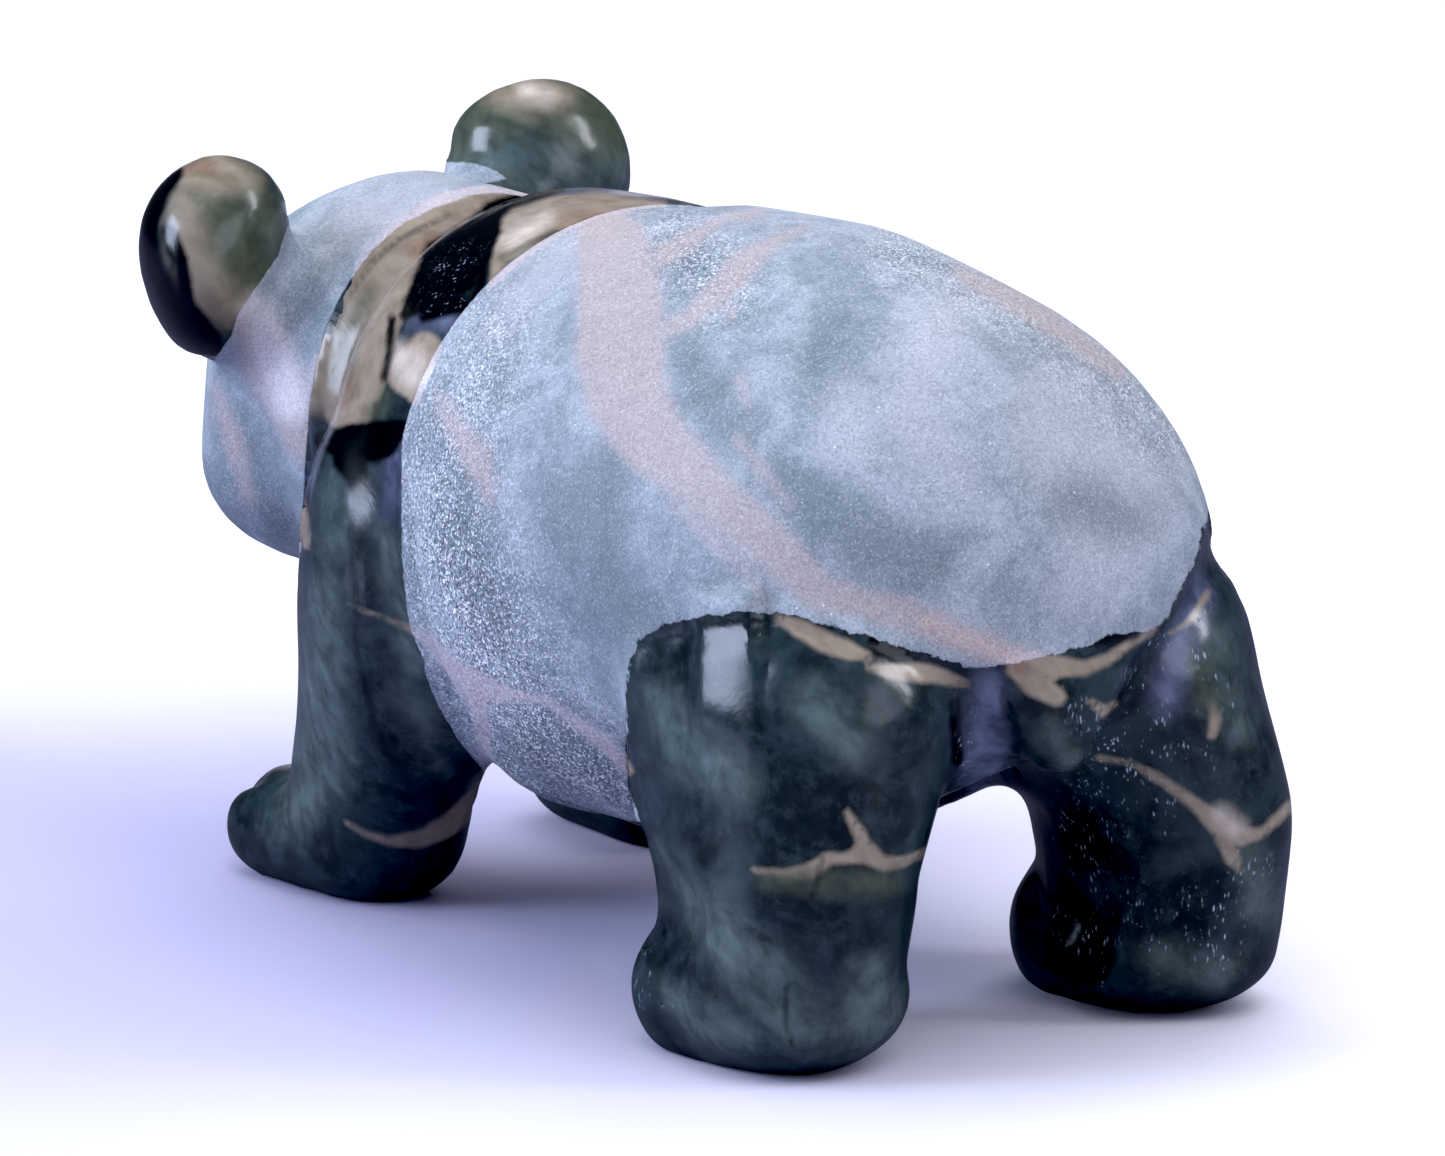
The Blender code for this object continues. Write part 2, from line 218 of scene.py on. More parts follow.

# Rose and lilac haze that the frosting brings out, broad and soft, and a painted rim highlight
ROSE_AND_RIM_LIGHT = {
    "body": [
        [(598, 218, 24), (615, 250, 36), (622, 300, 42), (618, 345, 43), (627, 400, 40), (652, 440, 34),
         (690, 475, 28), (722, 505, 25), (752, 530, 24), (785, 560, 21), (820, 592, 18), (862, 604, 14),
         (905, 614, 17), (950, 632, 18), (1002, 652, 14), (1030, 658, 8)],
        [(806, 229, 3), (775, 240, 6), (745, 262, 13), (722, 290, 13), (690, 318, 8), (655, 334, 5)],
        [(760, 213, 3), (727, 218, 4), (695, 235, 8), (665, 255, 12)],
        [(672, 505, 3), (708, 536, 5), (738, 563, 5), (760, 592, 3)],
        [(738, 440, 2), (762, 470, 5), (790, 505, 3)],
        [(727, 300, 3), (731, 318, 2)],
        [(740, 380, 4), (746, 402, 2)],
        [(440, 398, 5), (455, 425, 10), (478, 462, 14), (490, 498, 5)],
        # Painted highlight: a pale rim along the back's outline
        [(960, 272, 8), (1040, 315, 12), (1120, 372, 8)],
    ],
    "head": [
        [(250, 315, 20), (268, 362, 26), (290, 412, 20), (302, 450, 12)],
        [(216, 385, 4), (232, 440, 9), (250, 500, 5)],
    ],
}

# Milky cloud over the hips and along the seam, the softest of all
CLOUD = {
    "body": [
        [(938, 325, 34), (905, 417, 38), (955, 471, 24)],
        [(850, 408, 26), (852, 450, 18)],
        [(1060, 420, 50), (1120, 500, 50), (1080, 590, 30)],
        [(600, 222, 20), (548, 262, 20), (505, 330, 14)],
    ],
    "head": [[(360, 215, 30), (420, 185, 20)]],
}

# Darker stone under the frosting, and painted shade under the belly
DUSK_AND_SHADE = {
    "body": [
        [(600, 470, 30), (580, 520, 44), (590, 580, 40), (640, 640, 36)],
        [(690, 350, 22), (705, 390, 30), (730, 430, 26)],
        [(672, 275, 16), (690, 250, 14)],
        [(500, 620, 26), (470, 560, 24), (470, 480, 18)],
        # Painted shade under the belly
        [(540, 740, 36), (600, 770, 30)],
        [(780, 480, 22), (850, 540, 30), (930, 570, 28)],
        [(1080, 500, 26), (1130, 520, 22)],
        [(840, 320, 18), (810, 370, 24)],
    ],
    "head": [[(232, 430, 14), (262, 470, 18), (282, 530, 18)], [(215, 480, 12), (232, 520, 14)]],
}

# Green-black stone between the veins, and painted shade on the right hind leg's inner face
BLACK_AND_SHADE = {
    "body": [
        [(326, 440, 12), (352, 446, 22), (380, 440, 20), (400, 428, 10)],
        [(350, 460, 18), (362, 492, 8)],
        [(873, 640, 6), (885, 652, 9), (905, 650, 8)],
        # Painted shade: these two strokes paint the right hind leg's flat inner face black
        [(1030, 870, 22), (1060, 930, 42), (1085, 960, 26)],
        [(1060, 820, 14), (1085, 850, 22)],
        [(1080, 640, 5), (1110, 636, 8), (1135, 633, 5)],
        [(955, 700, 5), (957, 760, 6)],
    ],
    "band": [
        [(404, 316, 5), (416, 303, 13), (433, 285, 23), (450, 266, 31), (468, 248, 26), (483, 228, 18),
         (492, 212, 12), (507, 202, 8), (525, 196, 6), (548, 192, 4), (562, 189, 3)],
        [(425, 315, 8), (445, 305, 12), (462, 305, 9)],
        [(484, 262, 5), (480, 288, 6), (470, 310, 6)],
        [(345, 440, 12), (350, 452, 18), (372, 430, 8)],
        [(392, 318, 4), (390, 345, 4), (384, 378, 3)],
    ],
    "left_ear": [
        [(176, 172, 8), (162, 188, 12), (146, 225, 12), (144, 260, 16), (152, 290, 20), (180, 318, 22),
         (204, 342, 18), (212, 366, 12)],
        [(168, 232, 8), (180, 262, 9), (176, 300, 20)],
    ],
}

# Paler green, cloudy inside the polished parts
MOSS = {
    "body": [
        [(322, 600, 20), (322, 680, 24), (318, 780, 26), (290, 822, 18)],
        [(385, 540, 6), (400, 620, 12), (415, 700, 16), (440, 760, 12)],
        [(338, 480, 9), (338, 503, 13), (334, 545, 8)],
        [(666, 992, 12), (700, 1025, 18), (750, 1045, 14)],
        [(660, 850, 6), (690, 895, 16), (725, 940, 24), (775, 985, 30), (800, 1030, 30)],
        [(870, 980, 24), (880, 1020, 28), (850, 1040, 24)],
        [(660, 700, 14), (690, 760, 20), (740, 780, 20)],
        [(810, 700, 16), (850, 740, 22)],
        [(1050, 738, 10), (1066, 762, 9)],
        [(1250, 850, 10), (1264, 900, 14)],
        [(1215, 640, 12), (1225, 700, 14), (1240, 730, 8)],
        [(1160, 960, 16), (1220, 975, 16)],
    ],
    "right_ear": [[(455, 160, 24), (530, 150, 44), (610, 165, 26)]],
}

# Olive green, where the cream and the green run into each other
OLIVE = {
    "body": [[(765, 879, 8), (830, 884, 12), (892, 882, 9)], [(1195, 660, 8), (1210, 700, 12)]],
    "band": [
        [(330, 380, 6), (343, 335, 9), (370, 290, 7)],
        [(352, 392, 5), (348, 352, 7)],
        [(483, 300, 6), (470, 318, 5)],
        [(553, 237, 6), (560, 230, 4)],
        [(372, 415, 8), (386, 395, 5)],
        [(505, 262, 3), (530, 244, 3), (560, 230, 2)],
    ],
    "left_ear": [[(215, 180, 34), (240, 225, 46), (232, 280, 36)]],
    "right_ear": [[(460, 130, 30), (530, 100, 30), (610, 130, 30)]],
}

# Rust stains in the cream
RUST = {
    "body": [[(1012, 662, 4), (1020, 668, 6)], [(925, 622, 5), (968, 640, 8), (1005, 655, 4)]],
    "band": [
        [(418, 250, 5), (432, 240, 7)],
        [(560, 223, 2), (598, 212, 3)],
        [(344, 400, 6), (350, 375, 8)],
    ],
    "left_ear": [[(190, 168, 5), (208, 166, 6)]],
}

# Grey violet: stone in a patch under the black lens, and painted sheen and light elsewhere
VIOLET_AND_SHEEN = {
    "body": [
        # Painted light in the shaded recess beside the tail
        [(988, 690, 18), (986, 730, 19), (984, 775, 22)],
        # Painted sheen along the foreleg's left edge
        [(304, 395, 5), (302, 440, 7), (304, 480, 5)],
        # Painted reflection: a bluish strip along the shoulder seam
        [(396, 440, 5), (396, 480, 7), (393, 508, 5)],
        # Painted sheen on the right hind leg's upper part
        [(1165, 700, 14), (1180, 650, 16), (1200, 590, 10)],
    ],
    "band": [
        # Grey violet stone under the black lens
        [(416, 326, 6), (432, 316, 11), (452, 322, 8)],
        # Painted sheen along the band's crest
        [(540, 184, 5), (590, 184, 7), (630, 190, 5), (664, 203, 3)],
    ],
}

# Thin dark cracks, healed and polished over
CRACKS = {
    "body": [
        [(376, 405, 3), (362, 470, 3), (350, 534, 2), (356, 600, 3), (356, 650, 3), (375, 726, 4),
         (394, 765, 3)],
        [(822, 858, 3), (818, 880, 3), (811, 900, 2)],
        [(787, 985, 3), (785, 1020, 3), (793, 1048, 3)],
        [(745, 925, 3), (762, 938, 4), (780, 945, 2)],
    ],
    "band": [
        [(330, 345, 2), (346, 300, 2), (372, 262, 3), (401, 238, 2), (425, 226, 3), (449, 216, 2)],
        [(500, 258, 2), (530, 243, 3), (556, 231, 2)],
    ],
}

# Where the polished stone is pitted and scratched white
PITS = {
    "body": [
        [(1165, 640, 8), (1142, 690, 12), (1155, 742, 14)],
        [(1196, 630, 8), (1208, 665, 10), (1224, 695, 9)],
        [(1188, 735, 8), (1200, 765, 8)],
        [(1108, 745, 12), (1133, 775, 12)],
        [(1090, 785, 14), (1128, 790, 16), (1168, 815, 12)],
        [(1082, 830, 20), (1105, 860, 24), (1118, 892, 16)],
        [(1072, 915, 14), (1090, 945, 16), (1095, 970, 10)],
        [(1128, 905, 10), (1152, 930, 14), (1160, 955, 10)],
        [(1190, 888, 7), (1196, 950, 8)],
        [(1216, 896, 8), (1220, 955, 9)],
        [(965, 700, 5), (962, 760, 6)],
        [(640, 970, 12), (655, 1000, 10)],
        [(1085, 720, 12), (1098, 735, 8)],
        [(1240, 860, 8), (1262, 862, 6)],
    ],
    "band": [[(456, 255, 12), (440, 296, 10)]],
}

# Where the grit bit deepest: behind the shoulder seam and along the belly
COARSE = {
    "body": [
        [(500, 330, 10), (455, 420, 24), (440, 500, 34), (455, 590, 46), (490, 670, 50), (530, 740, 44),
         (600, 790, 30), (650, 810, 20)],
        [(680, 240, 12), (720, 290, 8)],
        [(900, 245, 8), (1000, 285, 10), (1100, 350, 12), (1170, 430, 10)],
    ],
}

FIGURE = {
    "moss": MOSS,
    "cloud": CLOUD,
    "dusk_and_shade": DUSK_AND_SHADE,
    "rose_and_rim_light": ROSE_AND_RIM_LIGHT,
    "violet": VIOLET_AND_SHEEN,
    "cream": CREAM,
    "olive": OLIVE,
    "tan": TAN,
    "milk_and_highlight": MILK_AND_HIGHLIGHT,
    "rust": RUST,
    "black": BLACK_AND_SHADE,
    "cracks": CRACKS,
    "pits": PITS,
    "coarse": COARSE,
}

# Hollows that the grinding wheel left, each by its strokes, the width of its slope in pixels, and
# its depth in mm
HOLLOWS = [
    ([[(352, 545, 8), (356, 650, 10), (394, 765, 10)]], 30, 0.13),
    ([[(1190, 722, 5), (1201, 752, 9), (1212, 788, 5)]], 14, 0.20),
    ([[(1233, 738, 6), (1247, 768, 10), (1256, 804, 7)]], 15, 0.24),
    ([[(622, 962, 6), (640, 946, 9), (662, 930, 6)]], 8, 0.30),
    ([[(1003, 690, 6), (1008, 730, 8), (1014, 768, 6)]], 8, 0.35),
]

# Where the form is drawn out or in to the photograph's outline: the place and the move, across and
# down in its pixels, and how far off half of the move is left, in mm
MOVES = [
    (1212, 545, 13, 0, 2.2),
    (1263, 640, -14, 0, 3.2),
    (1281, 862, 11, 0, 3.6),
    (1243, 990, 8, 0, 2.0),
    (240, 168, 4, -7, 2.2),
    (272, 196, 16, -6, 1.8),
    (530, 790, 0, 7, 2.4),
    (148, 325, 10, -4, 2.4),
    (458, 132, -10, -2, 2.2),
    (430, 174, 0, -9, 2.4),
    (340, 184, 0, 8, 3.0),
    (900, 242, 0, -9, 6.0),
    (1168, 412, -6, 11, 3.6),
    (293, 722, 6, 0, 2.4),
    (229, 805, 9, 0, 1.8),
    (656, 915, 30, 0, 1.6),
    (1024, 856, 13, 0, 2.6),
    (1002, 925, 9, 0, 2.2),
    (985, 794, 0, -9, 2.0),
    (897, 1036, -11, 0, 2.4),
    (664, 1050, 8, 0, 1.8),
]

# The right hind leg's flat inner face: its outline, how deep it is ground at its sharp edge, where it
# fades in from the left and from above, and the width of its slope in pixels
FLAT_FACE = [(1000, 820), (1090, 830), (1108, 890), (1116, 925), (1114, 955), (1090, 992), (1000, 1000)]
FLAT_FACE_DEPTH = 0.45
FLAT_FACE_ACROSS = (1035, 1100)
FLAT_FACE_DOWN = (835, 915)
FLAT_FACE_SLOPE = 6.0

# The left thigh's facet, ground nearly flat: its outline, the place where it meets the rounded form,
# the way that its polish mirrors there, as a turn from the camera's side and a rise, in degrees, the
# radius that it still curves at, where it fades in from the left and out below, and the rounding of
# its sharp edge
FACET = [(680, 590), (763, 590), (763, 690), (760, 770), (680, 770)]
FACET_EDGE = (762, 700)
FACET_MIRRORS = (-48, 14)
FACET_CURVE_MM = 9.0
FACET_ACROSS = (682, 706)
FACET_DOWN = (700, 765)
FACET_ROUNDING_MM = 0.20

# What the camera sees of the body: the fineness that it is judged at, how deep still counts as seen,
# and how squarely a surface that turns from hidden to seen faces it
SIGHT_CELL_PX = 12
SIGHT_DEPTH_MM = 0.9
SIGHT_TURNS = (-0.15, 0.10)

# A colour's depth at a point that none of its strokes comes near
FAR_OUTSIDE_MM = -4.0


def linear(hex_colour):
    """Linear colour of an sRGB hex value."""
    channels = [int(hex_colour[i:i + 2], 16) / 255 for i in (1, 3, 5)]
    return (*[c / 12.92 if c <= 0.04045 else ((c + 0.055) / 1.055) ** 2.4 for c in channels], 1.0)


def add(tree, kind, links, out=0, **settings):
    """Add a node with its settings and links, and give its output; a link is a socket or a value."""
    node = tree.nodes.new(kind)
    for name, value in settings.items():
        setattr(node, name, value)
    for name, value in links.items():
        if isinstance(value, bpy.types.NodeSocket):
            tree.links.new(value, node.inputs[name])
        else:
            node.inputs[name].default_value = value
    return node.outputs[out] if node.outputs else None


def smooth_step(x, low, high):
    """From 0 at low to 1 at high, with no corner at either."""
    t = np.clip((x - low) / (high - low), 0.0, 1.0)
    return t * t * (3.0 - 2.0 * t)


# The photograph's camera

def direction(turn, rise):
    """The way out from the figure at a turn from its front and a rise from level."""
    return np.array((math.sin(turn) * math.cos(rise), -math.cos(turn) * math.cos(rise), math.sin(rise)))


def camera_axes():
    """Directions to the photograph's right, to its top and back towards the camera."""
    back = direction(CAMERA_TURN, CAMERA_RISE)
    right = np.array((math.cos(CAMERA_TURN), math.sin(CAMERA_TURN), 0.0))
    return right, np.cross(back, right), back


def sight(points):
    """Where points, in mm, come to lie in the photograph, in its pixels."""
    right, up, back = camera_axes()
    from_camera = points - CAMERA_AT_MM
    depth = -from_camera @ back
    across = PHOTO_WIDTH / 2 + FOCAL_PX * (from_camera @ right) / depth
    down = PHOTO_HEIGHT / 2 - FOCAL_PX * (from_camera @ up) / depth
    return np.stack((across, down), 1)


def towards_side(side_deg, rise_deg):
    """The way out at a turn from the camera's side of the figure and a rise, both in degrees."""
    return direction(CAMERA_TURN + math.radians(side_deg), math.radians(rise_deg))


def in_sight(at):
    """Which points the camera sees, and not other stone in front of them."""
    depth = -(at - CAMERA_AT_MM) @ camera_axes()[2]
    cells = (sight(at) / SIGHT_CELL_PX).astype(np.int64)
    cells = cells[:, 1] * PHOTO_WIDTH + cells[:, 0]
    nearest = np.full(cells.max() + 1, np.inf)
    np.minimum.at(nearest, cells, depth)
    return depth < nearest[cells] + SIGHT_DEPTH_MM


def nearest_at(co, across, down):
    """The point of the body that the camera sees at one place in the photograph."""
    xy = sight(co)
    there = np.hypot(xy[:, 0] - across, xy[:, 1] - down) < SIGHT_CELL_PX
    return np.argmax(np.where(there, (co - CAMERA_AT_MM) @ camera_axes()[2], -np.inf))


def set_camera():
    """Put the photograph's camera back where it stood."""
    right, up, back = camera_axes()
    data = bpy.data.cameras.new("photograph")
    data.sensor_width = SENSOR_WIDTH_MM
    data.lens = FOCAL_PX / PHOTO_WIDTH * SENSOR_WIDTH_MM
    data.clip_start, data.clip_end = CAMERA_SEES_FROM_TO
    camera = bpy.data.objects.new("photograph", data)
    axes = Matrix((right, up, back)).transposed().to_4x4()
    camera.matrix_world = Matrix.Translation(Vector(CAMERA_AT_MM * MM)) @ axes
    bpy.context.scene.collection.objects.link(camera)
    bpy.context.scene.camera = camera


# The body

def even_out(co, edges, rounds, pulls, share=1.0):
    """Move each point by the given pulls towards the middle of its neighbours, round after round."""
    a, b = edges.T
    count = np.bincount(edges.ravel(), minlength=len(co))[:, None]
    for _ in range(rounds):
        for pull in pulls:
            total = np.zeros_like(co)
            for axis in range(3):
                total[:, axis] = np.bincount(a, co[b, axis], len(co)) + np.bincount(b, co[a, axis], len(co))
            co = co + pull * share * (total / count - co)
    return co


def soften_ear_roots(co, edges):
    """Round the crease between each ear and the head into a flowing root."""
    drawn = co - DRAWING_AT
    loose = np.zeros(len(co))
    for side in (1, -1):
        off, outward = from_ear(drawn, side)
        reach = np.linalg.norm(off, axis=1)
        root = smooth_step(-off @ outward, *EAR_ROOT_FROM) * (1.0 - smooth_step(reach, *EAR_ROOT_TO))
        loose = np.maximum(loose, root)
    return even_out(co, edges, EAR_ROOT_ROUNDS, EAR_ROOT_PULLS, loose[:, None])


def draw_to_outline(co):
    """Move the form a little, sideways to the line of sight, where its outline asks for it."""
    right, up, _ = camera_axes()
    for across, down, by_right, by_down, reach in MOVES:
        off = np.linalg.norm(co - co[nearest_at(co, across, down)], axis=1)
        share = (1.0 - smooth_step(off, 0.0, 2.0 * reach))[:, None]
        co = co + share * (by_right * right - by_down * up) / PX_PER_MM
    return co


def read_vertices(mesh, what="co"):
    """A mesh's places or normals, one row for each vertex."""
    values = np.empty(len(mesh.vertices) * 3)
    mesh.vertices.foreach_get(what, values)
    return values.reshape(-1, 3)


def write_vertices(mesh, co):
    """Put a mesh's vertices in new places."""
    mesh.vertices.foreach_set("co", co.ravel())
    mesh.update()


def rough_body(node):
    """The solid's mesh at the skin's own fineness, in a new object."""
    bm = bmesh.new()
    bm.from_mesh(node.data)
    bmesh.ops.remove_doubles(bm, verts=bm.verts, dist=SAME_POINT_MM * MM)
    mesh = bpy.data.meshes.new("panda_stone")
    bm.to_mesh(mesh)
    bm.free()
    body = bpy.data.objects.new("panda_stone", mesh)
    bpy.context.scene.collection.objects.link(body)
    remesh = body.modifiers.new("skin", "REMESH")
    remesh.mode = "VOXEL"
    remesh.voxel_size = SKIN_VOXEL_MM * MM
    depsgraph = bpy.context.evaluated_depsgraph_get()
    body.data = bpy.data.meshes.new_from_object(body.evaluated_get(depsgraph))
    body.modifiers.clear()
    return body


def head_axes(drawn):
    """Drawn points in the head's own axes."""
    place = (
        Matrix.Translation(HEAD_AT)
        @ Matrix.Rotation(HEAD_TURN, 4, "Z")
        @ Matrix.Rotation(HEAD_ROLL, 4, "Y")
    )
    inward = np.array(place.inverted())
    return drawn @ inward[:3, :3].T + inward[:3, 3]


def behind_shoulder(drawn):
    """How far points lie behind the shoulder seam, which bends forward near the belly."""
    straight = drawn[:, 1] - SHOULDER_SEAM_Y
    steep = math.hypot(1.0, SHOULDER_BEND_SLOPE)
    bent = (straight + SHOULDER_BEND_SLOPE * (SHOULDER_BEND_Z - drawn[:, 2])) / steep
    return np.maximum(straight, bent)


def from_ear(drawn, side):
    """Points as seen from the middle of one ear, and the way that the ear leans out."""
    off = head_axes(drawn) - np.array((side * EAR_AT[0], EAR_AT[1], EAR_AT[2]))
    return off, np.array((side * math.cos(EAR_LEAN), 0.0, math.sin(EAR_LEAN)))


def off_ear(drawn, side):
    """How far points lie from the middle of one ear."""
    return np.linalg.norm(from_ear(drawn, side)[0], axis=1)


def on_ear(drawn, side):
    """How far points lie inside the polished part of one ear."""
    off, outward = from_ear(drawn, side)
    return np.minimum(off @ outward + EAR_POLISH_DEPTH, EAR_REACH - off_ear(drawn, side))


def off_line(xy, start, end):
    """How far points lie from a straight line, and how far along it, from 0 to 1, each one is."""
    way = np.subtract(end, start)
    off = xy - start
    along = np.clip(off @ way / (way @ way), 0.0, 1.0)
    return np.linalg.norm(off - along[:, None] * way, axis=1), along


def inside_outline(xy, outline):
    """How far points lie inside a closed outline, less than nothing outside."""
    nearest = np.full(len(xy), np.inf)
    inside = np.zeros(len(xy), bool)
    for start, end in zip(outline, outline[1:] + outline[:1]):
        nearest = np.minimum(nearest, off_line(xy, start, end)[0])
        level = (start[1] > xy[:, 1]) != (end[1] > xy[:, 1])
        slant = (end[0] - start[0]) / ((end[1] - start[1]) or np.inf)
        inside ^= level & (xy[:, 0] < start[0] + slant * (xy[:, 1] - start[1]))
    return np.where(inside, nearest, -nearest)


def inside_strokes(xy, strokes):
    """How far points lie inside any of the strokes."""
    deepest = np.full(len(xy), -np.inf)
    for stroke in strokes:
        for (*start, start_half), (*end, end_half) in zip(stroke, stroke[1:]):
            off, along = off_line(xy, start, end)
            deepest = np.maximum(deepest, start_half + along * (end_half - start_half) - off)
    return deepest


def frosted_barrel(drawn, facing):
    """How far points lie inside the sandblasted barrel; its far side mirrors the side that shows."""
    at = drawn + DRAWING_AT
    mirrored = np.column_stack((np.abs(at[:, 0]), at[:, 1:]))
    seen = inside_outline(sight(at), FROSTED_BARREL) / PX_PER_MM
    unseen = inside_outline(sight(mirrored), FROSTED_BARREL) / PX_PER_MM
    behind_seam = behind_shoulder(drawn)
    leeway = SEAM_LEEWAY_MM * smooth_step(drawn[:, 0], *FLANK_LEEWAY_X)
    seen = np.minimum(seen, behind_seam + SEAM_LEEWAY_MM)
    unseen = np.minimum(np.maximum(unseen, LOIN_Y - drawn[:, 1]), behind_seam + leeway)
    barrel = facing * seen + (1.0 - facing) * unseen
    return np.minimum(barrel, np.maximum(drawn[:, 2] - BELLY_UNDERSIDE_Z, drawn[:, 1] - LOIN_Y))


def face_marks(drawn):
    """How far points lie inside the dark eye patches and the nose, which stay polished."""
    face = head_axes(drawn)
    marks = NOSE_REACH - np.linalg.norm(face - np.array(NOSE_AT), axis=1)
    for side in (1, -1):
        patch = EYE_PATCH - np.hypot(face[:, 0] - side * EYE_AT[0], face[:, 2] - EYE_AT[1])
        marks = np.maximum(marks, np.minimum(patch, FACE_FRONT - face[:, 1]))
    return marks


def frosted_head(drawn, facing):
    """How far points lie inside the sandblasted head, clear of its ears, eye patches and nose."""
    before_seam = NECK_SEAM_Y - drawn[:, 1]
    leeway = SEAM_LEEWAY_MM * smooth_step(drawn[:, 2], *NECK_LEEWAY_Z)
    seen = inside_outline(sight(drawn + DRAWING_AT), FROSTED_HEAD) / PX_PER_MM
    seen = np.minimum(seen, before_seam + leeway)
    unseen = HEAD_REACH - np.linalg.norm(head_axes(drawn), axis=1)
    unseen = np.minimum(unseen, before_seam)
    plain = unseen - HEAD_PLAIN_MM
    for side in (1, -1):
        plain = np.minimum(plain, off_ear(drawn, side) - EAR_REACH)
        unseen = np.minimum(unseen, -on_ear(drawn, side))
    head = facing * np.maximum(seen, plain) + (1.0 - facing) * unseen
    return np.minimum(head, -face_marks(drawn))


def facing_camera(normals):
    """From 0, turned away from the photograph's camera, to 1, turned towards it."""
    return smooth_step(normals @ camera_axes()[2], *SIGHT_TURNS)


def frosted(drawn, normals):
    """How far points lie inside the sandblasted parts."""
    facing = facing_camera(normals)
    return np.maximum(frosted_barrel(drawn, facing), frosted_head(drawn, facing))


def stone_parts(drawn, normals):
    """Which parts of the figure each point belongs to; two parts share the points along their seam."""
    facing = facing_camera(normals)
    on_head = frosted_head(drawn, facing)
    near_left_ear = off_ear(drawn, 1) < EAR_REACH + SEAM_SHARED_MM
    near_right_ear = off_ear(drawn, -1) < EAR_REACH + SEAM_SHARED_MM
    off_ears = ~near_left_ear & ~near_right_ear
    off_head = on_head < SEAM_SHARED_MM
    band = off_head & off_ears & (frosted_barrel(drawn, facing) < SEAM_SHARED_MM)
    band &= (drawn[:, 2] > BAND_FOOT_Z) & (drawn[:, 1] < LOIN_Y)
    return {
        "body": (on_head < 0.0) & off_ears,
        "band": band,
        "left_ear": near_left_ear & off_head,
        "right_ear": near_right_ear & off_head,
        "head": on_head > -SEAM_SHARED_MM,
    }


def store(mesh, name, values):
    """Keep one value for each vertex, for the stone's material to read."""
    attribute = mesh.attributes.new(name, "FLOAT", "POINT")
    attribute.data.foreach_set("value", values.astype(np.float32))


def mark_stone(mesh):
    """Store how far each vertex lies inside the frosting and inside every colour of the stone."""
    at = read_vertices(mesh) / MM
    drawn = at - DRAWING_AT
    normals = read_vertices(mesh, "normal")
    store(mesh, "frosted", frosted(drawn, normals))
    xy = sight(at)
    parts = stone_parts(drawn, normals)
    for colour, strokes in FIGURE.items():
        depth = np.full(len(at), FAR_OUTSIDE_MM)
        for part, members in parts.items():
            own = inside_strokes(xy[members], strokes.get(part, [])) / PX_PER_MM
            depth[members] = np.maximum(depth[members], own)
        if colour == FACE_COLOUR:
            depth = np.maximum(depth, face_marks(drawn))
        store(mesh, colour, depth)


def wheel_marks(at):
    """How deep the hollows and flats of the carver's wheel are, in mm, at each point."""
    xy = sight(at)
    depth = np.zeros(len(at))
    for strokes, slope, deep in HOLLOWS:
        depth += deep * smooth_step(inside_strokes(xy, strokes), 0.0, slope)
    flat = smooth_step(inside_outline(xy, FLAT_FACE), 0.0, FLAT_FACE_SLOPE)
    flat *= smooth_step(xy[:, 0], *FLAT_FACE_ACROSS) * smooth_step(xy[:, 1], *FLAT_FACE_DOWN)
    depth += FLAT_FACE_DEPTH * flat
    return depth * in_sight(at)


def grind_facet(co):
    """Lay the points of the thigh's facet into its shallow curve."""
    square = camera_axes()[2] + towards_side(*FACET_MIRRORS)
    square /= np.linalg.norm(square)
    along = np.cross((0.0, 0.0, 1.0), square)
    xy = sight(co)
    share = smooth_step(inside_outline(xy, FACET) / PX_PER_MM, 0.0, FACET_ROUNDING_MM)
    share *= smooth_step(xy[:, 0], *FACET_ACROSS) * (1.0 - smooth_step(xy[:, 1], *FACET_DOWN)) * in_sight(co)
    off = co - co[nearest_at(co, *FACET_EDGE)]
    above = off @ square + (off @ along) ** 2 / (2.0 * FACET_CURVE_MM)
    return co - (share * above)[:, None] * square


def carve_body(node):
    """The panda in its finished surface, with the places of its frosting and colours stored on it."""
    body = rough_body(node)
    mesh = body.data
    edges = np.empty(len(mesh.edges) * 2, np.int64)
    mesh.edges.foreach_get("vertices", edges)
    edges = edges.reshape(-1, 2)
    co = even_out(read_vertices(mesh) / MM, edges, EVENING_ROUNDS, EVENING_PULLS)
    co = grind_facet(draw_to_outline(soften_ear_roots(co, edges)))
    write_vertices(mesh, co * MM)
    normals = read_vertices(mesh, "normal")
    inside = frosted(co - DRAWING_AT, normals)
    sunk = FROST_STEP_MM * smooth_step(-inside, *FROST_STEP_FALL_MM)
    sunk *= 1.0 - smooth_step(-inside, *FROST_STEP_RISE_MM)
    co -= (wheel_marks(co) + sunk)[:, None] * normals
    co[:, 2] = np.maximum(co[:, 2], 0.0)
    write_vertices(mesh, co * MM)
    mark_stone(mesh)
    mesh.shade_smooth()
    return body


# The stone

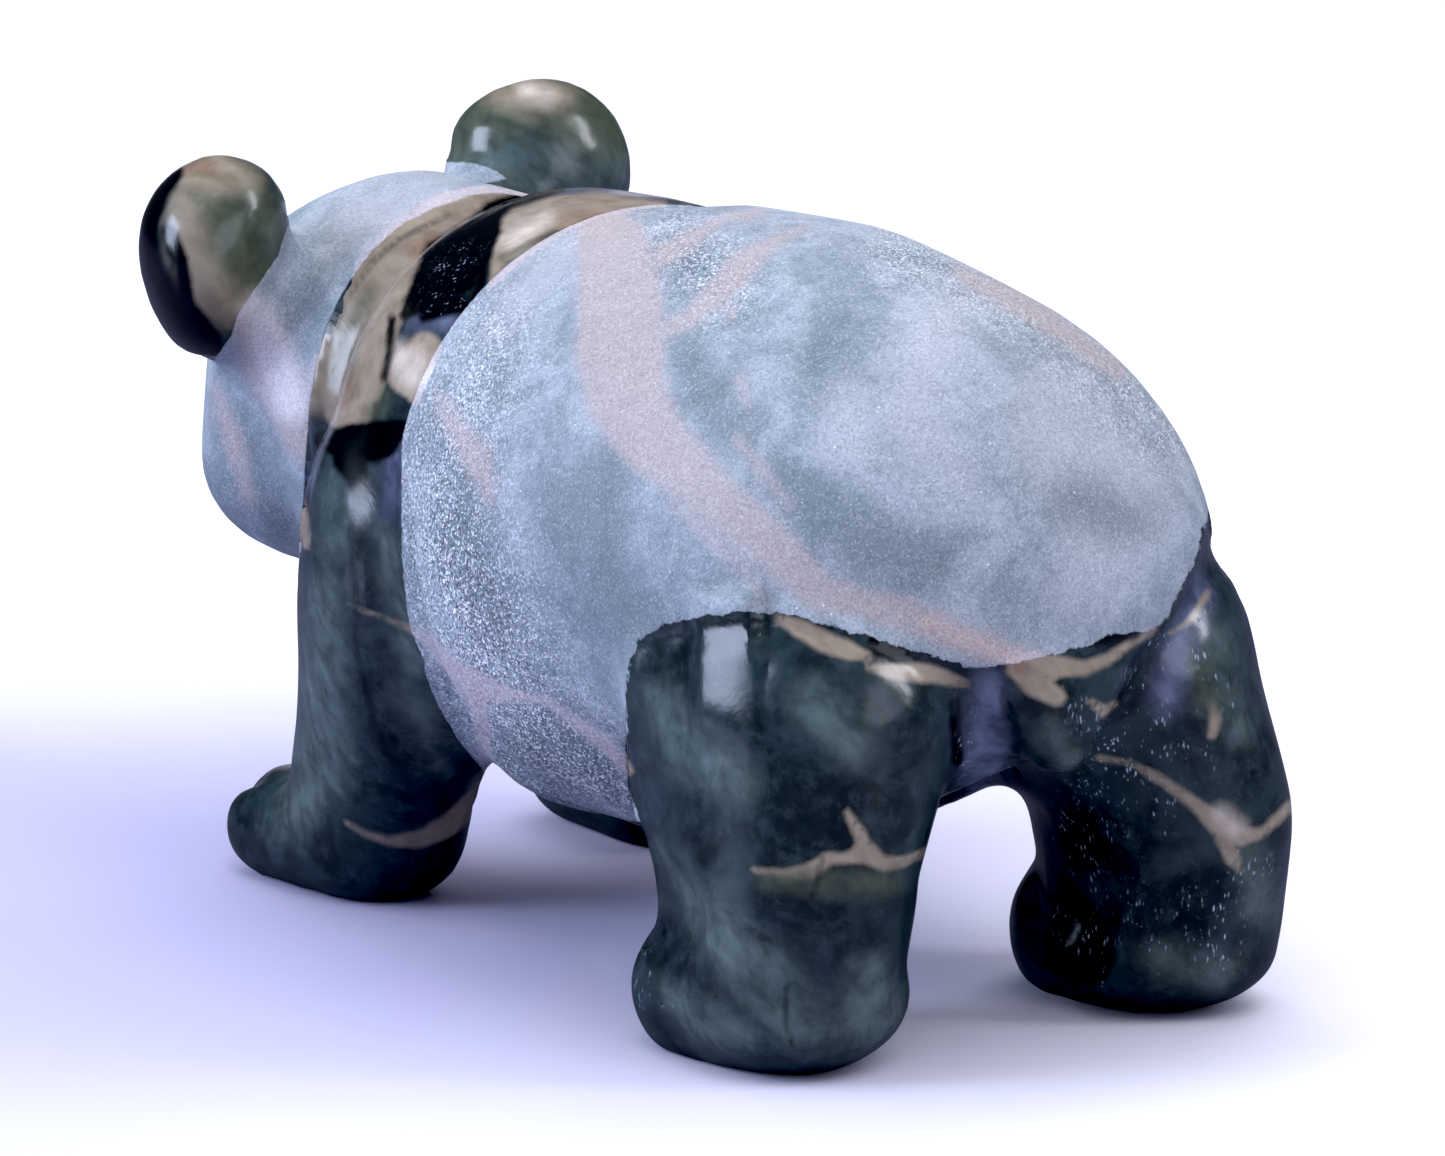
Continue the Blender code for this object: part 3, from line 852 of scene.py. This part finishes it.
# One line for each colour of the stone, laid over each other in this order: its name, how soft its
# edge is and how far it wanders, in mm, then its darker and its paler hex and its strength where
# polished, and its hex and its strength where frosted, or None where it doesn't show
# The dusk, rose, violet, milk and black rows also carry painted shade, highlights and sheens
STONE_COLOURS = [
    ("moss", 0.80, 1.30, ("#2D3A3B", "#586769", 0.85), None),
    ("cloud", 1.20, 1.20, None, ("#989DAA", 0.70)),
    ("dusk_and_shade", 1.00, 1.20, None, ("#56636F", 0.72)),
    ("rose_and_rim_light", 0.36, 0.45, None, ("#958C90", 0.85)),
    ("violet", 0.60, 0.80, ("#343950", "#686F90", 0.75), ("#8C8FA4", 0.50)),
    ("cream", 0.14, 0.28, ("#6B6158", "#857B70", 1.00), ("#A0979F", 0.80)),
    ("olive", 0.45, 0.50, ("#2E362E", "#4C5547", 0.80), ("#8F9A98", 0.30)),
    ("tan", 0.55, 0.45, ("#6E6559", "#887F73", 0.85), ("#ADA2AA", 0.50)),
    ("milk_and_highlight", 0.45, 0.30, ("#8F857F", "#B9B1AC", 0.80), ("#C6C3CD", 0.75)),
    ("rust", 0.35, 0.45, ("#583D2F", "#775843", 0.60), ("#B59C9C", 0.55)),
    ("black", 0.14, 0.30, ("#020305", "#06090B", 1.00), None),
    ("cracks", 0.10, 0.12, ("#020304", "#05080A", 0.50), ("#5C6B7C", 0.20)),
]

# Veins that the grit leaves smoother than the stone about them, and how much of its bite they take
SMOOTH_VEINS = ("rose_and_rim_light", "cream", "milk_and_highlight")
VEIN_BITE = 0.3

# The stone between its veins, polished and blasted: its dark and its pale hex, and its flecks' hex
POLISHED_GROUND = ("#0F171B", "#222F35", "#35434A")
BLASTED_GROUND = ("#6B7885", "#8994A2", "#959DAC")

# Grains of the blasting, dark pits and pale crystals: the hex, the values at which a grain takes
# none and all of it, and its strength where the grit bit least and most
GRAINS = [
    ("#252E3A", 0.50, 0.15, 0.26, 0.95),
    ("#EDF0F8", 0.60, 0.95, 0.13, 0.90),
]
# Painted glints of single crystal faces in the frosting: their hex and strength
SPARK_HEX = "#F2F4FB"
SPARK_STRENGTH = 0.55
SCAR_HEX = "#A9B8D4"
SCAR_STRENGTH = 0.8

# Jasper's IOR, and its matched roughness: the polish varies a little, the blasting is matt
JASPER_IOR = 1.54
POLISHED_ROUGHNESS = (0.17, 0.26)
BLASTED_ROUGHNESS = 0.62

MATH = "ShaderNodeMath"
MIX = "ShaderNodeMix"
RANGE = "ShaderNodeMapRange"
NOISE = "ShaderNodeTexNoise"
CELLS = "ShaderNodeTexVoronoi"
STORED = "ShaderNodeAttribute"
EASED = {"interpolation_type": "SMOOTHSTEP"}
COLOURS = {"data_type": "RGBA", "out": 2}
TIMES = {"operation": "MULTIPLY"}
TIMES_PLUS = {"operation": "MULTIPLY_ADD"}

# Sizes of the stone's own patterns, in mm, matched to the photograph at its 28 pixels a
# millimetre: how its veins wander and fray, its mottling, its flecks, and its streaks
WANDER_MM = 2.6
FRAY_MM = 0.5
MOTTLE_MM = 3.2
FLECK_MM = 0.7
STREAK_MM = 0.9
STREAK_STRETCH = 1.8
BEDDING = Vector((-0.59, 0.39, -0.71))

# Grain of the blasting, matched to the photograph's, which is 2 to 3 pixels wide, and the
# crystal faces that flash in it
GRIT_MM = 0.07
GRIT_DEPTH_MM = 0.035
# Size of the painted glints
SPARK_MM = 0.13

# Plucked grains in the polish: short upright scars, swirled so that they stand in no rows
SCAR_MM = (0.12, 0.12, 0.42)
SCAR_DEPTH_MM = 0.03
SCAR_SWIRL_MM = 0.9
SCAR_SWIRL = (2.4, 2.4, 1.6)

# Faint swells that the polishing wheel leaves
SWELL_MM = 0.03

# The frosting's edge: how far it strays at the shoulder and at the rump, where along the body the one
# becomes the other, and how soft it is, in mm
FROST_STRAY_MM = (0.12, 0.55)
FROST_STRAY_Y = (9.0, 18.0)
FROST_SOFT_MM = 0.03

# How soft the edges of the scarred and of the coarsely blasted places are, and how far they wander
SCARRED_EDGE_MM = (0.7, 2.2)
COARSE_EDGE_MM = (2.2, 1.5)


def stone_patterns(tree):
    """Noises that every colour of the stone shares, by name."""
    place = add(tree, "ShaderNodeTexCoord", {}, out="Object")
    mm = add(tree, "ShaderNodeVectorMath", {0: place, 1: (1000, 1000, 1000)}, **TIMES)
    turned = BEDDING.to_track_quat("X", "Z").to_euler()
    links = {"Vector": mm, "Rotation": turned, "Scale": (STREAK_STRETCH, 1.0, 1.0)}
    bedded = add(tree, "ShaderNodeMapping", links, vector_type="TEXTURE")
    wander = add(tree, NOISE, {"Vector": mm, "Scale": 1 / WANDER_MM, "Detail": 4.0, "Roughness": 0.6})
    fray = add(tree, NOISE, {"Vector": mm, "Scale": 1 / FRAY_MM, "Detail": 4.0, "Roughness": 0.65})
    mottle = {"Vector": mm, "Scale": 1 / MOTTLE_MM, "Detail": 6.0, "Roughness": 0.62, "Distortion": 0.8}
    streak = {"Vector": bedded, "Scale": 1 / STREAK_MM, "Detail": 4.0, "Roughness": 0.55, "Distortion": 0.3}
    return {
        "mm": mm,
        "wander": add(tree, MATH, {0: wander, 1: 0.5}, operation="SUBTRACT"),
        "fray": add(tree, MATH, {0: fray, 1: 0.5}, operation="SUBTRACT"),
        "mottle": add(tree, NOISE, mottle),
        "fleck": add(tree, NOISE, {"Vector": mm, "Scale": 1 / FLECK_MM, "Detail": 5.0, "Roughness": 0.68}),
        "streak": add(tree, NOISE, streak),
        "grit": add(tree, CELLS, {"Vector": mm, "Scale": 1 / GRIT_MM}, out="Color"),
    }


def colour_share(tree, pattern, name, soft, wide):
    """How much of one colour there is: its stored depth, shifted by wander and fray."""
    depth = add(tree, STORED, {}, out="Fac", attribute_name=name)
    depth = add(tree, MATH, {0: pattern["wander"], 1: wide, 2: depth}, **TIMES_PLUS)
    depth = add(tree, MATH, {0: pattern["fray"], 1: 0.5 * wide, 2: depth}, **TIMES_PLUS)
    links = {"Value": depth, "From Min": -soft, "From Max": soft}
    return add(tree, RANGE, links, **EASED)


def frost_share(tree, pattern):
    """Where the surface is sandblasted; its edge is clean at the shoulder and ragged at the rump."""
    along = add(tree, "ShaderNodeSeparateXYZ", {0: pattern["mm"]}, out="Y")
    links = {"Value": along, "From Min": FROST_STRAY_Y[0], "From Max": FROST_STRAY_Y[1]}
    links |= {"To Min": FROST_STRAY_MM[0], "To Max": FROST_STRAY_MM[1]}
    stray = add(tree, RANGE, links, **EASED)
    stored = add(tree, STORED, {}, out="Fac", attribute_name="frosted")
    depth = add(tree, MATH, {0: pattern["fray"], 1: stray, 2: stored}, **TIMES_PLUS)
    links = {"Value": depth, "From Min": -FROST_SOFT_MM, "From Max": FROST_SOFT_MM}
    return add(tree, RANGE, links, **EASED)


def grain_share(tree, pattern, coarse, none, full, least, most):
    """One kind of grain in the blasting, from none of it to all, stronger where the grit bit most."""
    strong = add(tree, RANGE, {"Value": coarse, "To Min": least, "To Max": most})
    links = {"Value": pattern["grit"], "From Min": none, "From Max": full, "To Max": strong}
    return add(tree, RANGE, links, **EASED)


def spark_share(tree, pattern):
    """Painted glints: single crystal faces that flash white in the frosting, here and there."""
    links = {"Vector": pattern["mm"], "Scale": 1 / SPARK_MM}
    cells = add(tree, CELLS, links, out="Color")
    chosen = {"Value": cells, "From Min": 0.90, "From Max": 0.96}
    chosen = add(tree, RANGE, chosen, **EASED)
    middle = {"Value": cells.node.outputs["Distance"], "From Min": 0.40, "From Max": 0.15}
    middle = add(tree, RANGE, middle, **EASED)
    return add(tree, MATH, {0: chosen, 1: middle}, **TIMES)


def scar_share(tree, pattern):
    """Short white scars in the polish, where grains were plucked out, in their own patches."""
    links = {"Vector": pattern["mm"], "Scale": tuple(1 / size for size in SCAR_MM)}
    place = add(tree, "ShaderNodeMapping", links)
    links = {"Vector": pattern["mm"], "Scale": 1 / SCAR_SWIRL_MM, "Detail": 2.0}
    swirl = add(tree, NOISE, links, out="Color")
    links = {0: swirl, 1: SCAR_SWIRL, 2: place}
    place = add(tree, "ShaderNodeVectorMath", links, **TIMES_PLUS)
    cells = add(tree, CELLS, {"Vector": place, "Scale": 1.0}, out="Color")
    spot = {"Value": cells.node.outputs["Distance"], "From Min": 0.42, "From Max": 0.22}
    chosen = {"Value": cells, "From Min": 0.44, "From Max": 0.50}
    cluster = {"Value": pattern["fleck"], "From Min": 0.48, "From Max": 0.58}
    share = colour_share(tree, pattern, "pits", *SCARRED_EDGE_MM)
    for links in (spot, chosen, cluster):
        own = add(tree, RANGE, links, **EASED)
        share = add(tree, MATH, {0: share, 1: own}, **TIMES)
    return share


def between_veins(tree, pattern, dark_hex, pale_hex, fleck_hex):
    """The stone between its veins: mottled from dark to pale, with cloudy flecks."""
    links = {"Value": pattern["mottle"], "From Min": 0.38, "From Max": 0.64}
    pale = add(tree, RANGE, links, **EASED)
    links = {"Value": pattern["fleck"], "From Min": 0.42, "From Max": 0.80, "To Max": 0.55}
    flecks = add(tree, RANGE, links, **EASED)
    links = {0: pale, 6: linear(dark_hex), 7: linear(pale_hex)}
    colour = add(tree, MIX, links, **COLOURS)
    return add(tree, MIX, {0: flecks, 6: colour, 7: linear(fleck_hex)}, **COLOURS)


def lay_veins(tree, pattern, polished, blasted):
    """Lay the colours over the polished and the blasted stone; give both, and the smooth veins."""
    links = {"Value": pattern["streak"], "From Min": 0.22, "From Max": 0.78}
    streaks = add(tree, RANGE, links, **EASED)
    smooth = 0.0
    for name, soft, wide, on_polish, on_frost in STONE_COLOURS:
        share = colour_share(tree, pattern, name, soft, wide)
        if name in SMOOTH_VEINS:
            smooth = add(tree, MATH, {0: smooth, 1: share}, operation="MAXIMUM")
        if on_polish:
            dark_hex, pale_hex, strength = on_polish
            links = {0: streaks, 6: linear(dark_hex), 7: linear(pale_hex)}
            own = add(tree, MIX, links, **COLOURS)
            part = add(tree, MATH, {0: share, 1: strength}, **TIMES)
            polished = add(tree, MIX, {0: part, 6: polished, 7: own}, **COLOURS)
        if on_frost:
            own_hex, strength = on_frost
            part = add(tree, MATH, {0: share, 1: strength}, **TIMES)
            blasted = add(tree, MIX, {0: part, 6: blasted, 7: linear(own_hex)}, **COLOURS)
    return polished, blasted, smooth


def lay_grain(tree, pattern, blasted, smooth):
    """The blasted stone with its pits, crystals and painted glints, fainter where the veins are smooth."""
    coarse = colour_share(tree, pattern, "coarse", *COARSE_EDGE_MM)
    bite = add(tree, RANGE, {"Value": smooth, "To Min": 1.0, "To Max": VEIN_BITE})
    coarse = add(tree, MATH, {0: coarse, 1: bite}, **TIMES)
    for grain_hex, *reach in GRAINS:
        grain = grain_share(tree, pattern, coarse, *reach)
        blasted = add(tree, MIX, {0: grain, 6: blasted, 7: linear(grain_hex)}, **COLOURS)
    spark = add(tree, MATH, {0: spark_share(tree, pattern), 1: SPARK_STRENGTH}, **TIMES)
    return add(tree, MIX, {0: spark, 6: blasted, 7: linear(SPARK_HEX)}, **COLOURS)


def veined_stone():
    """Veined green jasper, tumbled to a polish with the barrel and head sandblasted: the polish
    is deep and dark with window-shaped glints, the frost pale and grainy with faint painted glints."""
    material = bpy.data.materials.new("veined_jasper_polished_and_sandblasted")
    material.use_nodes = True
    tree = material.node_tree
    shader = tree.nodes["Principled BSDF"]
    pattern = stone_patterns(tree)
    frost = frost_share(tree, pattern)
    scars = scar_share(tree, pattern)

    polished = between_veins(tree, pattern, *POLISHED_GROUND)
    blasted = between_veins(tree, pattern, *BLASTED_GROUND)
    polished, blasted, smooth = lay_veins(tree, pattern, polished, blasted)
    blasted = lay_grain(tree, pattern, blasted, smooth)
    scarred = add(tree, MATH, {0: scars, 1: SCAR_STRENGTH}, **TIMES)
    polished = add(tree, MIX, {0: scarred, 6: polished, 7: linear(SCAR_HEX)}, **COLOURS)
    colour = add(tree, MIX, {0: frost, 6: polished, 7: blasted}, **COLOURS)
    tree.links.new(colour, shader.inputs["Base Color"])

    links = {"Value": pattern["mottle"], "From Min": 0.3, "From Max": 0.7}
    links |= {"To Min": POLISHED_ROUGHNESS[0], "To Max": POLISHED_ROUGHNESS[1]}
    gloss = add(tree, RANGE, links)
    rough = add(tree, MIX, {0: frost, 2: gloss, 3: BLASTED_ROUGHNESS}, data_type="FLOAT")
    tree.links.new(rough, shader.inputs["Roughness"])
    shader.inputs["IOR"].default_value = JASPER_IOR

    grit = add(tree, MATH, {0: pattern["grit"], 1: frost}, **TIMES)
    height = add(tree, MATH, {0: grit, 1: GRIT_DEPTH_MM}, **TIMES)
    height = add(tree, MATH, {0: pattern["mottle"], 1: SWELL_MM, 2: height}, **TIMES_PLUS)
    height = add(tree, MATH, {0: scars, 1: -SCAR_DEPTH_MM, 2: height}, **TIMES_PLUS)
    bump = add(tree, "ShaderNodeBump", {"Strength": 1.0, "Distance": MM, "Height": height}, out="Normal")
    tree.links.new(bump, shader.inputs["Normal"])
    return material


# Floor and light

# White acrylic floor, in metres, lying a hair below the feet
FLOOR_SIZE = 3.0
FLOOR_DROP_MM = 0.03
ACRYLIC_IOR = 1.49
ACRYLIC_ROUGHNESS = (0.04, 0.07)
# Turned well down from bare acrylic, because the photograph's floor hardly mirrors
ACRYLIC_SHINE = 0.025

# The floor carries a painted shadow about the figure, greyer and more violet: where, how far, how
# turned and where it clears, and its hexes there, in the open, and as the stone's polish mirrors it
SHADE_AT = (0.032, -0.023, 0.0)
SHADE_SIZE = (0.083, 0.065, 1.0)
SHADE_TURN = math.radians(-33.7)
SHADE_CLEARS = (0.40, 1.20)
SHADED_HEX = "#A6A6C8"
OPEN_HEX = "#DCDCE6"
MIRRORED_HEX = "#4A4A5C"

# Soft boxes, whose glints show to the left and right, and fills beside, above and behind: the turn
# from the camera's side of the figure and the rise, in degrees, the distance, width and height, in
# metres, the power in watts, the hex, and whether the polish shows it as a glint
SOFT_BOXES = [
    ("left_box", -72, 21, 0.42, 0.18, 0.22, 1.4, "#D2E1FF", True),
    ("right_box", 76, 34, 0.46, 0.08, 0.26, 0.8, "#F4F6FF", True),
    ("right_wall", 42, 18, 0.46, 0.24, 0.24, 0.35, "#E6EAFF", True),
    ("left_fill", -90, 34, 0.45, 0.36, 0.30, 1.6, "#F6F8FF", False),
    ("top_box", 25, 66, 0.45, 0.40, 0.40, 2.0, "#FFFFFF", False),
    ("back_box", 180, 50, 0.80, 1.00, 0.70, 7.0, "#FFFFFF", False),
]
LIGHTS_AIM_AT = (0.0, 0.0, 0.012)

# The pale tent that lights the stone, from the camera's side to behind the figure, and the dark room
# that its polish mirrors, with the white backdrop in it
TENT_HEXES = ("#5A5D76", "#E4E4F2")
TENT_REACH = (-0.1, 0.8)
ROOM_HEX = "#33353F"
BACKDROP_HEX = "#F0F0FF"

# The backdrop sweeps up behind the figure to this height, and goes this far round it
SWEEP_TOP = (math.sin(math.radians(14)), math.sin(math.radians(20)))
SWEEP_SIDES = (0.93, 0.98)

# Tones as dark as this show as black, as they do in the photograph
BLACK_POINT = 0.009


def lay_floor():
    """White acrylic sheet, cast and glossy: it shows the feet again, faintly and a little violet."""
    bm = bmesh.new()
    bmesh.ops.create_grid(bm, x_segments=8, y_segments=8, size=FLOOR_SIZE / 2)
    mesh = bpy.data.meshes.new("floor")
    bm.to_mesh(mesh)
    bm.free()
    floor = bpy.data.objects.new("floor", mesh)
    floor.location.z = -FLOOR_DROP_MM * MM
    bpy.context.scene.collection.objects.link(floor)
    material = bpy.data.materials.new("cast_white_acrylic")
    material.use_nodes = True
    tree = material.node_tree
    shader = tree.nodes["Principled BSDF"]
    place = add(tree, "ShaderNodeTexCoord", {}, out="Object")
    links = {"Vector": place, "Location": SHADE_AT, "Rotation": (0, 0, SHADE_TURN), "Scale": SHADE_SIZE}
    around = add(tree, "ShaderNodeMapping", links, vector_type="TEXTURE")
    away = add(tree, "ShaderNodeVectorMath", {0: around}, out="Value", operation="LENGTH")
    haze = add(tree, NOISE, {"Vector": place, "Scale": 40.0, "Detail": 2.0})
    away = add(tree, MATH, {0: haze, 1: 0.25, 2: away}, **TIMES_PLUS)
    links = {"Value": away, "From Min": SHADE_CLEARS[0], "From Max": SHADE_CLEARS[1]}
    clear = add(tree, RANGE, links, **EASED)
    links = {0: clear, 6: linear(SHADED_HEX), 7: linear(OPEN_HEX)}
    tint = add(tree, MIX, links, **COLOURS)
    mirrored = add(tree, "ShaderNodeLightPath", {}, out="Is Glossy Ray")
    tint = add(tree, MIX, {0: mirrored, 6: tint, 7: linear(MIRRORED_HEX)}, **COLOURS)
    tree.links.new(tint, shader.inputs["Base Color"])
    links = {"Value": haze, "To Min": ACRYLIC_ROUGHNESS[0], "To Max": ACRYLIC_ROUGHNESS[1]}
    tree.links.new(add(tree, RANGE, links), shader.inputs["Roughness"])
    shader.inputs["IOR"].default_value = ACRYLIC_IOR
    shader.inputs["Specular IOR Level"].default_value = ACRYLIC_SHINE
    floor.data.materials.append(material)


def hang_light(name, side_deg, rise_deg, away, width, height, watts, hex_colour, shines):
    """A rectangular soft box, turned from the camera's side of the figure, looking at the figure;
    one that doesn't shine lights the stone without a glint on its polish."""
    data = bpy.data.lights.new(name, "AREA")
    data.shape = "RECTANGLE"
    data.size = width
    data.size_y = height
    data.energy = watts
    data.color = linear(hex_colour)[:3]
    light = bpy.data.objects.new(name, data)
    towards = Vector(towards_side(side_deg, rise_deg))
    light.location = Vector(LIGHTS_AIM_AT) + away * towards
    light.rotation_euler = towards.to_track_quat("Z", "Y").to_euler()
    light.visible_glossy = shines
    bpy.context.scene.collection.objects.link(light)


def pitch_tent():
    """The world about the figure: a white ground for the camera, a pale tent that lights the stone,
    and for its polish a dark room with a low white backdrop."""
    world = bpy.data.worlds.new("studio")
    bpy.context.scene.world = world
    world.use_nodes = True
    tree = world.node_tree
    tree.nodes.clear()
    towards = add(tree, "ShaderNodeTexCoord", {}, out="Generated")
    behind = tuple(-camera_axes()[2])
    ahead = add(tree, "ShaderNodeVectorMath", {0: towards, 1: behind}, out="Value", operation="DOT_PRODUCT")
    glow = add(tree, RANGE, {"Value": ahead, "From Min": TENT_REACH[0], "From Max": TENT_REACH[1]})
    links = {0: glow, 6: linear(TENT_HEXES[0]), 7: linear(TENT_HEXES[1])}
    tone = add(tree, MIX, links, **COLOURS)
    tent = add(tree, "ShaderNodeBackground", {"Color": tone, "Strength": 1.0})

    upward = add(tree, "ShaderNodeSeparateXYZ", {0: towards}, out="Z")
    upward = add(tree, RANGE, {"Value": upward, "From Min": SWEEP_TOP[0], "From Max": SWEEP_TOP[1]})
    forward = add(tree, RANGE, {"Value": ahead, "From Min": SWEEP_SIDES[0], "From Max": SWEEP_SIDES[1]})
    sweep = add(tree, MATH, {0: 1.0, 1: upward}, operation="SUBTRACT")
    sweep = add(tree, MATH, {0: sweep, 1: forward}, **TIMES)
    links = {0: sweep, 6: linear(ROOM_HEX), 7: linear(BACKDROP_HEX)}
    tone = add(tree, MIX, links, **COLOURS)
    room = add(tree, "ShaderNodeBackground", {"Color": tone, "Strength": 1.0})

    white = add(tree, "ShaderNodeBackground", {"Color": linear("#FFFFFF"), "Strength": 1.0})
    ray = add(tree, "ShaderNodeLightPath", {}, out="Is Camera Ray")
    glossy = ray.node.outputs["Is Glossy Ray"]
    unseen = add(tree, "ShaderNodeMixShader", {0: glossy, 1: tent, 2: room})
    shown = add(tree, "ShaderNodeMixShader", {0: ray, 1: unseen, 2: white})
    add(tree, "ShaderNodeOutputWorld", {"Surface": shown})


def set_tones():
    """Plain tones, with the photograph's black."""
    view = bpy.context.scene.view_settings
    view.view_transform = "Standard"
    view.look = "None"
    view.use_curve_mapping = True
    view.curve_mapping.black_level = (BLACK_POINT, BLACK_POINT, BLACK_POINT)


set_camera()
stone = carve_body(frame["nodes"]["panda_carving"])
stone.data.materials.clear()
stone.data.materials.append(veined_stone())
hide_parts("panda_carving")
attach(stone, next(iter(frame["bodies"])))
lay_floor()
for box in SOFT_BOXES:
    hang_light(*box)
pitch_tent()
set_tones()
